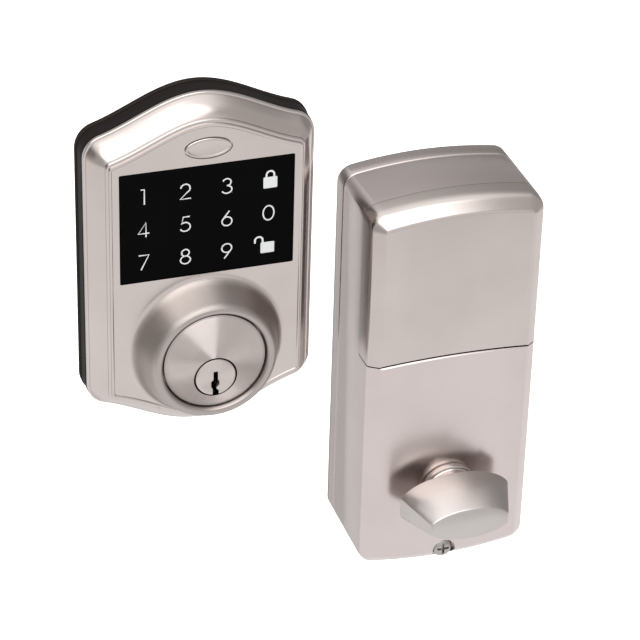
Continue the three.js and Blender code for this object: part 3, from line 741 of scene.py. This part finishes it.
def escutcheon():
    piece = disc_on("escutcheon", outline(PLATE, 0.5), RIM_BACK)
    push(RIM_BACK - RIM_FRONT)
    mould(piece, MOULDING, (PLATE["x"], PLATE["z"]))
    settle(piece)
    boolean(piece, hollow_behind())
    boolean(piece, round_rod("hole", 20.5, -10, -20, steps=96))
    boolean(piece, turned("collar", COLLAR, 128), "UNION")
    window = rounded_rectangle(GLASS["width"] + 0.6, GLASS["height"] + 0.6, 0.5, GLASS["x"], GLASS["z"])
    boolean(piece, block("window", window, -12, -20))
    boolean(piece, block("recess", oval(7.5, 3.6, *BADGE), -16.2, -20))
    return settle(piece, 32)


def hollow_behind():
    piece = disc_on("hollow", outline(PLATE, 2.6), -7)
    push(2.6)
    mould(piece, ((1.6, 2.4, 1), (2.6, 2.5, 1)), (PLATE["x"], PLATE["z"]))
    return settle(piece)


place(escutcheon(), plate_nickel, "satin_nickel", "lock_body", "exterior_escutcheon")
print("field at", round(FIELD, 2), "mm")

# %% [markdown]
# Two threaded posts run back from the casting, for the screws that pull both units onto the door.

# %% Posts
POST = ((2.2, -0.8), (3.6, -0.8), (3.9, -1.1), (3.9, -15.2), (2.2, -15.2), (2.2, -0.8))
for side, x in (("left", -POST_X), ("right", POST_X)):
    place(turned("screw_post_" + side, POST, 40, x), nickel, "satin_nickel", "lock_body")

# %% [markdown]
# ## The badge
#
# A blank oval plate sits in a shallow recess above the keypad. It has a raised, rounded rim and a slightly
# sunken middle, so it is a disc on an oval, extruded, then inset up and down again.


# %% Badge
def badge():
    piece = disc_on("badge", oval(7.1, 3.2, *BADGE), -16.25)
    push(0.62)
    mould(piece, (
        (0.10, 0.14, 1), (0.16, 0.10, 1), (0.22, 0.02, 1), (0.20, -0.10, 1), (0.14, -0.12, 1),
        (0.30, -0.03, 1),
    ), BADGE)
    return settle(piece, 50)


badge_nickel = satin_nickel("satin_nickel_badge", 0.24)
place(badge(), badge_nickel, "satin_nickel", "lock_body", "badge_plate")

# %% [markdown]
# ## The touch panel and its symbols
#
# The panel is a polished black sheet with a fine chamfer. Its symbols are printed, so each is a very thin
# solid laid on the face. A digit is drawn as strokes of one width: curves with a round section, turned into
# mesh and pressed flat. A padlock is a small block with a bow drawn the same way. The closed padlock's bow
# stands over its body, the open one's is swung out to the left.

# %% Touch panel
GLASS_BACK = -15.25
GLASS_FACE = -16.75
GLASS_CHAMFER = ((0.05, 0.07, 1), (0.09, 0.05, 1))


def touch_panel():
    edge = rounded_rectangle(GLASS["width"], GLASS["height"], 0.3, GLASS["x"], GLASS["z"])
    piece = disc_on("touch_panel_sheet", edge, GLASS_BACK)
    push(GLASS_BACK - GLASS_FACE - 0.12)
    mould(piece, GLASS_CHAMFER, (GLASS["x"], GLASS["z"]))
    return settle(piece, 20)


place(touch_panel(), glass, "black_glass", "lock_body", "touch_panel")
COLUMNS = (-19.4, -6.6, 6.2)
ROWS = (54.2, 43.2, 32.1)
ZERO_X = 19.1

# %% Strokes of the digits
STROKE = 0.44
BOW_STROKE = 0.6
INK_FLATNESS = 0.14
DIGIT_HEIGHT = 5.3


def arc(x, z, across, up, start, end, steps=24):
    """Points on an oval arc between two angles in degrees, counted from the right, upwards."""
    turns = [math.radians(start + (end - start) * i / steps) for i in range(steps + 1)]
    return [(x + across * math.cos(t), z + up * math.sin(t)) for t in turns]


STROKES = {
    "0": [arc(0, 0, 0.32, 0.46, 0, 360)],
    "1": [[(-0.14, 0.46), (0.06, 0.46), (0.06, -0.48)]],
    "2": [arc(0, 0.19, 0.27, 0.27, 175, -32) + [(-0.31, -0.46), (0.32, -0.46)]],
    "3": [arc(-0.02, 0.24, 0.24, 0.22, 160, -90), arc(-0.02, -0.22, 0.29, 0.24, 87, -160)],
    "4": [[(0.14, -0.48), (0.14, 0.44), (-0.31, -0.24), (0.33, -0.24)]],
    "5": [[(0.25, 0.46), (-0.13, 0.46), (-0.22, 0.02)] + arc(-0.02, -0.17, 0.30, 0.28, 132, -155)],
    "6": [arc(0, -0.18, 0.29, 0.28, 0, 360), [(0.14, 0.48), (-0.245, -0.04)]],
    "7": [[(-0.29, 0.46), (0.30, 0.46), (-0.16, -0.48)]],
    "8": [arc(0, 0.25, 0.22, 0.214, 0, 360), arc(0, -0.21, 0.29, 0.25, 0, 360)],
    "9": [arc(0, 0.18, 0.29, 0.28, 0, 360), [(-0.14, -0.48), (0.245, 0.04)]],
}


def inked(name, strokes, x, z, scale, width=STROKE):
    """Strokes of ink: tubes along paths, pressed nearly flat onto the panel."""
    clear_selection()
    bpy.ops.curve.primitive_bezier_curve_add()
    piece = bpy.context.object
    piece.name = name
    piece.data.splines.clear()
    for stroke in strokes:
        closed = math.dist(stroke[0], stroke[-1]) < 1e-6
        points = stroke[:-1] if closed else stroke
        spline = piece.data.splines.new("POLY")
        spline.points.add(len(points) - 1)
        spline.use_cyclic_u = closed
        for point, (across, up) in zip(spline.points, points):
            point.co = ((x + across * scale) * MM, 0, (z + up * scale) * MM, 1)
    piece.data.bevel_depth = width / 2 * MM
    piece.data.bevel_resolution = 2
    piece.data.use_fill_caps = True
    bpy.ops.object.convert(target="MESH")
    piece = bpy.context.object
    edit(piece)
    bpy.ops.mesh.select_all(action="SELECT")
    bpy.ops.transform.resize(value=(1, INK_FLATNESS, 1), center_override=(0, 0, 0))
    bpy.ops.transform.translate(value=(0, GLASS_FACE * MM, 0))
    return settle(piece, 40)


places = {"0": (ZERO_X, ROWS[1])}
for index, character in enumerate("123456789"):
    places[character] = (COLUMNS[index % 3], ROWS[index // 3])
for character, (x, z) in places.items():
    digit = inked("digit_" + character, STROKES[character], x, z, DIGIT_HEIGHT)
    place(digit, ink, "black_glass", "lock_body")


# %% Padlocks
def padlock(name, x, z, bow_x, bow_z):
    """A block at x, z with its bow's arc about a point of its own."""
    body = block(name, rounded_rectangle(4.3, 3.7, 0.3, x, z), GLASS_FACE + 0.03, GLASS_FACE - 0.04)
    bow = [(-1.2, -0.9)] + arc(0, 0, 1.2, 1.2, 180, 0) + [(1.2, -0.9)]
    inked("bow", [bow], bow_x, bow_z, 1, BOW_STROKE)
    body.select_set(True)
    bpy.context.view_layer.objects.active = body
    bpy.ops.object.join()
    return body


place(padlock("padlock_closed", 19.5, 53.5, 19.5, 56.1), ink, "black_glass", "lock_body")
place(padlock("padlock_open", 18.9, 31.45, 16.2, 34.1), ink, "black_glass", "lock_body")

# %% [markdown]
# ## The key cylinder
#
# The cylinder's face is turned to a very flat cone, with a dark running gap all round. The plug that takes
# the key sits low in it, off centre, as in every pin cylinder, because the pins need the room above. The
# keyway is a crooked slot from near the plug's middle to its lower edge, so only the right key goes in.

# %% Cylinder face and plug
KEYWAY = (
    # x, z from the plug's axis, down one side and up the other
    (-0.7, 2.0), (-0.7, -0.8), (-1.45, -1.6), (-1.45, -3.3), (-0.95, -4.0), (-0.95, -7.5), (0.95, -7.5),
    (0.95, -4.7), (0.25, -4.1), (0.25, -3.5), (1.15, -2.7), (1.15, -1.5), (0.7, -0.9), (0.7, 2.0),
)


def cylinder():
    piece = turned("cylinder", (
        (0, -4.6), (12.5, -4.6), (12.8, -4.9), (12.8, -21.6), (15.85, -21.6), (15.85, -25.85),
        (15.72, -26.1), (15.4, -26.28), (14.9, -26.36), (7.2, -27.06), (0, -27.1),
    ), 128, angle=25)
    boolean(piece, round_rod("bore", 6.8, 0, -40, 0, PLUG_Z, 72))
    return settle(piece, 25)


def plug():
    piece = turned("plug", (
        (0, -1.9), (4.6, -1.9), (4.6, -2.7), (5.9, -2.7), (5.9, -3.3), (5.0, -3.3), (5.0, -4.3),
        (6.35, -4.3), (6.3, -26.75), (6.2, -26.98), (5.95, -27.1), (5.2, -27.14), (0, -27.14),
    ), 72, 0, PLUG_Z, 25)
    slot = block("keyway", [(x, PLUG_Z + z) for x, z in reversed(KEYWAY)], -6, -40)
    boolean(piece, slot)
    return settle(soften(piece, 0.2, 50), 30)


place(cylinder(), cylinder_nickel, "satin_nickel", "lock_body", "cylinder_body")
place(plug(), plug_nickel, "satin_nickel", "cylinder_plug", "key_plug")

# %% [markdown]
# ## The thumbturn unit's case
#
# The inner case is a tall box with bowed ends: a shallow base, and a deep housing whose front edge is
# bevelled all round. The upper half of the front is a separate battery cover, parted along a seam that
# repeats the bow. Both come from one blank, hollowed out and cut along the seam, as the real pair is
# designed. The seam's edges on the front face have a small chamfer, which is what draws a bright line beside
# the gap.

# %% Case blank
CASE = {
    "x": 73.8, "z": -17.05, "half_width": 27.6, "half_height": 65.65, "drop": 2.8, "corner": 5.5,
    "shape": bow,
}
WALL = 1.8
CASE_BACK = -6.6
CASE_MIDDLE = (CASE["x"], CASE["z"])
BACK_ROLL = ((-0.20, 0.08, 1), (-0.15, 0.14, 1), (-0.10, 0.20, 1))
BEVEL = (
    # inward, outward, squeeze in height
    (0.04, 1.60, 0.9975), (0.10, 1.20, 0.996), (0.22, 0.62, 0.9965), (0.30, 0.36, 0.9985),
    (1.30, 1.05, 1.003), (1.30, 1.05, 1.003), (0.34, 0.22, 1.002), (0.42, 0.14, 1), (0.48, 0.06, 1),
)
CASE_FRONT = -36.0
HOLLOW_END = -29.5
CHAMFER = 0.38
SEAM_Z = -4.8
SEAM_DROP = 1.2
SEAM_GAP = 0.4
COVER_BACK = -25.4
REGION_TOP = 60.0
REGION_REACH = 32
WALL_END = CASE_FRONT + sum(step[1] for step in BEVEL)


def case_blank(name):
    piece = disc_on(name, outline(CASE, 0.45), CASE_BACK)
    mould(piece, BACK_ROLL, CASE_MIDDLE)
    push(CASE_BACK - sum(step[1] for step in BACK_ROLL) - WALL_END)
    mould(piece, BEVEL, CASE_MIDDLE)
    settle(piece)
    hollow = disc_on("hollow", outline(CASE, WALL), CASE_BACK + 2)
    push(CASE_BACK + 2 - HOLLOW_END)
    mould(hollow, ((0.5, 2.1, 1), (2.7, 2.6, 1)), CASE_MIDDLE)
    settle(hollow)
    return boolean(piece, hollow)


def cover_region(gap, flare):
    """The room the battery cover takes up, above the bowed seam and in front of its back edge.

    It widens by `flare` just behind the face, which chamfers the edge that it cuts there.
    """
    steps = 40
    points = []
    for i in range(steps + 1):
        x = -REGION_REACH + 2 * REGION_REACH * i / steps
        points.append((CASE["x"] + x, SEAM_Z + gap - SEAM_DROP * (x / 27) ** 2))
    points += [(CASE["x"] + REGION_REACH, REGION_TOP), (CASE["x"] - REGION_REACH, REGION_TOP)]
    back = COVER_BACK - 0.35 * gap
    piece = disc_on("region", points, back)
    push(back - CASE_FRONT - CHAMFER)
    push(CHAMFER)
    resize(1, 1 + flare / (REGION_TOP - SEAM_Z), (CASE["x"], REGION_TOP))
    push(6)
    return settle(piece)


# %% Housing and battery cover
SPINDLE = (73.8, -54.1)
SCREW_Z = -78.2


def housing():
    piece = boolean(case_blank("housing"), cover_region(0, CHAMFER))
    boss = block("boss", rounded_rectangle(10.4, 6.4, 2, CASE["x"], SCREW_Z + 1.1), -30, -34.3)
    boolean(piece, boss, "UNION")
    boolean(piece, round_rod("counterbore", 3.8, -33.3, -40, CASE["x"], SCREW_Z))
    boolean(piece, round_rod("screw_hole", 1.65, -28, -40, CASE["x"], SCREW_Z, 24))
    boolean(piece, round_rod("spindle_hole", 6.9, -28, -40, *SPINDLE))
    return settle(piece, 30)


def battery_cover():
    piece = boolean(case_blank("cover"), cover_region(SEAM_GAP, -CHAMFER), "INTERSECT")
    return settle(piece, 30)


place(housing(), case_nickel, "satin_nickel", "lock_body", "interior_housing")
place(battery_cover(), cover_nickel, "satin_nickel", "cover", "battery_cover")


# %% Base
BOLT_X = 17.2
BASE_SIDE = 5.45
BASE_EDGE = ((0.07, 0.18, 1), (0.16, 0.18, 1), (0.22, 0.12, 1), (0.3, 0.05, 1))


def base():
    piece = disc_on("case_base", outline(CASE, 0.3), 0)
    mould(piece, ((-0.2, 0.1, 1), (-0.1, 0.2, 1)), CASE_MIDDLE)
    push(BASE_SIDE)
    mould(piece, BASE_EDGE, CASE_MIDDLE)
    settle(piece)
    boolean(piece, block("rear", outline(CASE, WALL), 2, -1.9))
    boolean(piece, block("front", outline(CASE, 1.7), -3.1, -9))
    boolean(piece, round_rod("hole", 6.6, 2, -6, *SPINDLE))
    boolean(piece, block("way", rounded_rectangle(*CABLE_WAY, CASE["x"], -32), 2, -6))
    for x in (-BOLT_X, BOLT_X):
        boolean(piece, round_rod("slot", 3.0, 2, -6, CASE["x"] + x, SPINDLE[1], 24))
    return settle(piece, 30)


# The base's darker nickel finish is painted shade.
painted_shade_base_nickel = satin_nickel("satin_nickel_base_painted_shade", 0.26, PAINTED_SHADE_BASE_NICKEL, PAINTED_SHADE_BASE_DARK)
place(base(), painted_shade_base_nickel, "satin_nickel", "lock_body", "interior_base")

# %% [markdown]
# ## The thumbturn
#
# The grip is a long oval cut square at its ends, widest at the back and tapering to a smaller front face,
# so fingers can pinch it. It is a disc laid on that oval, extruded forward and scaled down, then finished
# with a fine rounded edge. A stepped ring covers the hole in the case behind it.

# %% Thumbturn and ring
GRIP_BACK = -41.5
GRIP_TAPER = ((6.9, 0.861, 0.793), (6.98, 0.838, 0.737))  # forward, then the scale across and up


def boat(half_length, half_height, end_share=0.33, steps=30):
    """A long oval cut off square, with slightly rounded corners."""
    reach = math.acos(end_share)
    stretch = half_length / math.sin(reach)
    upper = []
    for i in range(steps + 1):
        turn = math.pi / 2 - reach + 2 * reach * i / steps
        upper.append((stretch * math.cos(turn), half_height * math.sin(turn)))
    loop = upper + [(-x, -z) for x, z in upper]
    return [(SPINDLE[0] + x, SPINDLE[1] + z) for x, z in loop]


def thumbturn():
    piece = disc_on("thumbturn_grip", boat(17.25, 9.1), GRIP_BACK)
    mould(piece, ((-0.3, 0.12, 1), (-0.2, 0.2, 1), (-0.05, 0.3, 1)), SPINDLE)
    for distance, wide, high in GRIP_TAPER:
        push(distance)
        resize(wide, high, SPINDLE)
    mould(piece, ((0.10, 0.22, 1), (0.16, 0.18, 1), (0.26, 0.10, 1)), SPINDLE)
    settle(piece)
    boolean(piece, round_rod("socket", 4.5, -38, -50.3, *SPINDLE))
    screw_way = round_rod("screw_way", 1.5, -6, 6, 0, 0, 24)
    upright = Matrix.Rotation(math.pi / 2, 4, "X")
    screw_way.data.transform(Matrix.Translation(Vector((SPINDLE[0], -46, SPINDLE[1] - 8)) * MM) @ upright)
    boolean(piece, screw_way)
    return settle(piece, 28)


def stepped_ring():
    return turned("stepped_ring", (
        (4.5, -33), (6.6, -33), (6.6, -36.2), (9.3, -36.2), (9.55, -36.4), (9.6, -36.7), (9.6, -37.8),
        (9.5, -38.15), (9.2, -38.35), (8.75, -38.45), (8.5, -38.75), (8.5, -40.1), (8.38, -40.5),
        (8.0, -40.72), (4.5, -40.8), (4.5, -33),
    ), 96, *SPINDLE)


grip_nickel = satin_nickel("satin_nickel_grip", 0.31, GRIP_NICKEL, GRIP_SHADE)
ring_nickel = turned_nickel("turned_nickel_ring", *SPINDLE, 0.2, 0.15)
place(thumbturn(), grip_nickel, "satin_nickel", "thumbturn_shaft", "thumbturn")
place(stepped_ring(), ring_nickel, "satin_nickel", "lock_body", "thumbturn_bushing")


# %% [markdown]
# ## The housing screw
#
# One cross-head screw holds the housing at its lower edge. Its head is turned with a rounded crown, and two
# crossed slots are cut into it.

# %% Screw
def housing_screw():
    piece = turned("case_screw", (
        (0, -26), (1.35, -26), (1.35, -33.6), (3.2, -33.6), (3.3, -33.7), (3.3, -34.3), (3.1, -34.75),
        (2.6, -35.15), (1.8, -35.4), (0.9, -35.5), (0, -35.52),
    ), 48, CASE["x"], SCREW_Z)
    for width, height in ((4.0, 0.8), (0.8, 4.0)):
        boolean(piece, block("slot", rounded_rectangle(width, height, 0.2, CASE["x"], SCREW_Z), -34.1, -37))
    return settle(piece, 30)


place(housing_screw(), dark_steel, "steel", "lock_body", "housing_screw")

# %% [markdown]
# ## Finishes for the measured nodes
#
# The pieces inside keep their measured shapes. They show when the battery cover is off or the lock is seen
# from behind, so each gets a finish too.

# %% Inner finishes
finishes = {
    "panel_light_guide": white_plastic, "keypad_board": board, "exterior_connector": white_plastic,
    "plug_clip": spring, "tailpiece": steel, "mounting_plate": steel, "battery_tray": black_plastic,
    "contact_top_left": spring, "contact_top_right": spring, "contact_bottom_left": spring,
    "contact_bottom_right": spring, "control_board": board, "control_chip": black_plastic,
    "cable_socket": white_plastic, "sounder": black_plastic, "program_switch": grey_plastic,
    "program_button": red_plastic, "motor": steel, "motor_pinion": brass, "idler_gear": white_plastic,
    "spindle_gear": white_plastic, "gear_plate": steel, "position_switch": black_plastic, "spindle": steel,
    "knob_set_screw": dark_steel,
}
for number in range(1, 6):
    finishes["key_pin_%d" % number] = brass
    finishes["driver_pin_%d" % number] = brass
    finishes["pin_spring_%d" % number] = spring
for number, button_up in ((1, True), (2, False), (3, False), (4, True)):
    name = "battery_%d" % number
    low, high = (corner.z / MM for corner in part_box(name))
    finishes[name] = cell_sleeve("cell_sleeve_%d" % number, low, high, button_up)
for name, material in finishes.items():
    nodes[name].data.materials.clear()
    nodes[name].data.materials.append(material)
print(len(finishes), "nodes finished")

# %% [markdown]
# ## Floor and light
#
# Polished metal shows what is around it, so the light is mostly a matter of surroundings. Round the lock is
# a dim grey room with two darker corners behind, below it a pale ground, above it a bright ceiling, and high
# in front, to the left, the glow of one big soft box. The world's background holds these as soft patches of
# direction. The floor that is seen lies well below the lock. It and the wide panel that lights it are hidden
# from reflections, so the metal shows the patches alone.

# %% Surroundings
ROOM = (0.56, 0.545, 0.53)
CEILING = (1.35, 1.34, 1.33)
GROUND = (1.06, 1.05, 1.045)
GROUND_BEHIND = (0.76, 0.75, 0.74)
FRONT = (1.0, 0.99, 0.98)
CORNER_LEFT = (0.22, 0.21, 0.205)
CORNER_RIGHT = (0.36, 0.35, 0.345)
SOFT_BOX = (2.7, 2.68, 2.65)
PATCHES = (
    # colour, direction of the middle, cosine at the faint edge, cosine where it is full
    (CORNER_RIGHT, (0.76, 0.60, 0.22), 0.78, 0.95),
    (CORNER_LEFT, (-0.82, 0.46, 0.34), 0.80, 0.96),
    (CEILING, (-0.20, 0.10, 0.97), 0.57, 0.90),
    (GROUND, (0.0, 0.0, -1.0), 0.20, 0.52),
    (GROUND_BEHIND, (-0.10, 0.85, -0.50), 0.72, 0.97),
    (FRONT, (-0.05, -0.96, 0.20), 0.70, 0.96),
    (SOFT_BOX, (-0.22, -0.46, 0.86), 0.78, 0.90),
)


def surroundings():
    world = bpy.data.worlds.new("studio")
    world.use_nodes = True
    bpy.context.scene.world = world
    sky = NodeMaker(world.node_tree)
    direction = sky.add("ShaderNodeTexCoord", {}, {}).outputs["Generated"]
    light = ROOM
    for colour, middle, faint, full in PATCHES:
        axis = tuple(Vector(middle).normalized())
        dot = sky.add("ShaderNodeVectorMath", {"operation": "DOT_PRODUCT"}, {0: direction, 1: axis})
        light = sky.blend(sky.ramp(dot.outputs["Value"], faint, full), light, colour)
    sky.feed(sky.tree.nodes["Background"].inputs["Color"], light)


surroundings()
bpy.context.scene.view_settings.view_transform = "Standard"


# %% Floor and panel
FLOOR_Z = -0.30


def studio_floor():
    clear_selection()
    bpy.ops.mesh.primitive_plane_add(size=30, location=(0, 0, FLOOR_Z))
    piece = bpy.context.object
    piece.name = "studio_floor"
    bpy.ops.object.transform_apply(location=True, rotation=True, scale=True)
    finish = Finish("pale_floor", (0.93, 0.93, 0.93), 0.9)
    speckle = finish.noise(6, 2)
    finish.colour(finish.blend(speckle, (0.95, 0.95, 0.95), (0.93, 0.93, 0.93)))
    piece.data.materials.append(finish.material)
    piece.visible_glossy = False


def soft_panel(name, at, aim, size, power):
    clear_selection()
    bpy.ops.object.light_add(type="AREA", location=at)
    lamp = bpy.context.object
    lamp.name = name
    lamp.data.shape = "RECTANGLE"
    lamp.data.size, lamp.data.size_y = size
    lamp.data.energy = power
    lamp.visible_glossy = False
    lamp.rotation_euler = (Vector(aim) - Vector(at)).to_track_quat("-Z", "Y").to_euler()


studio_floor()
soft_panel("panel_above", (-0.5, -0.3, 2.6), (0.0, 0.4, -0.3), (4.0, 4.0), 110)

# %% [markdown]
# ## Closing the lesson

# %% Finish
clear_selection()
